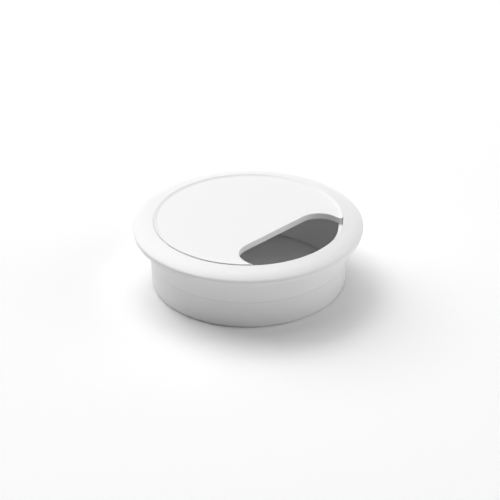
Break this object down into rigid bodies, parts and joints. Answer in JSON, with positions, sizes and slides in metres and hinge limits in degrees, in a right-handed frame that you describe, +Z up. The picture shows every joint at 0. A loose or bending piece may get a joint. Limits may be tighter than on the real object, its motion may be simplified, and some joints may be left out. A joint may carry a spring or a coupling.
{
  "type": "desk cable grommet",
  "caption": "Round desk cable grommet: a domed flange on a plain liner sleeve, with a flat, thinly lipped cap that turns in the rim and has a wide round-cornered cable slot.",
  "frame": {"origin": "centre of the liner's foot, on the surface it stands on", "axes": "+Z up along the sleeve's axis, from the foot to the cap; the cap's cable slot faces -Y at rest"},
  "size_m": [0.0694, 0.0694, 0.0207],
  "materials": {
    "liner_plastic": "white, satin moulded",
    "cap_plastic": "white, fine matte moulded"
  },
  "bodies": {
    "liner": {"liner": "liner_plastic"},
    "cap": {"cap": "cap_plastic"}
  },
  "joints": [
    {"name": "cap_turn", "type": "hinge", "parent": "liner", "child": "cap", "pos_m": [0, 0, 0.01844], "axis": [0, 0, 1], "continuous": true}
  ]
}
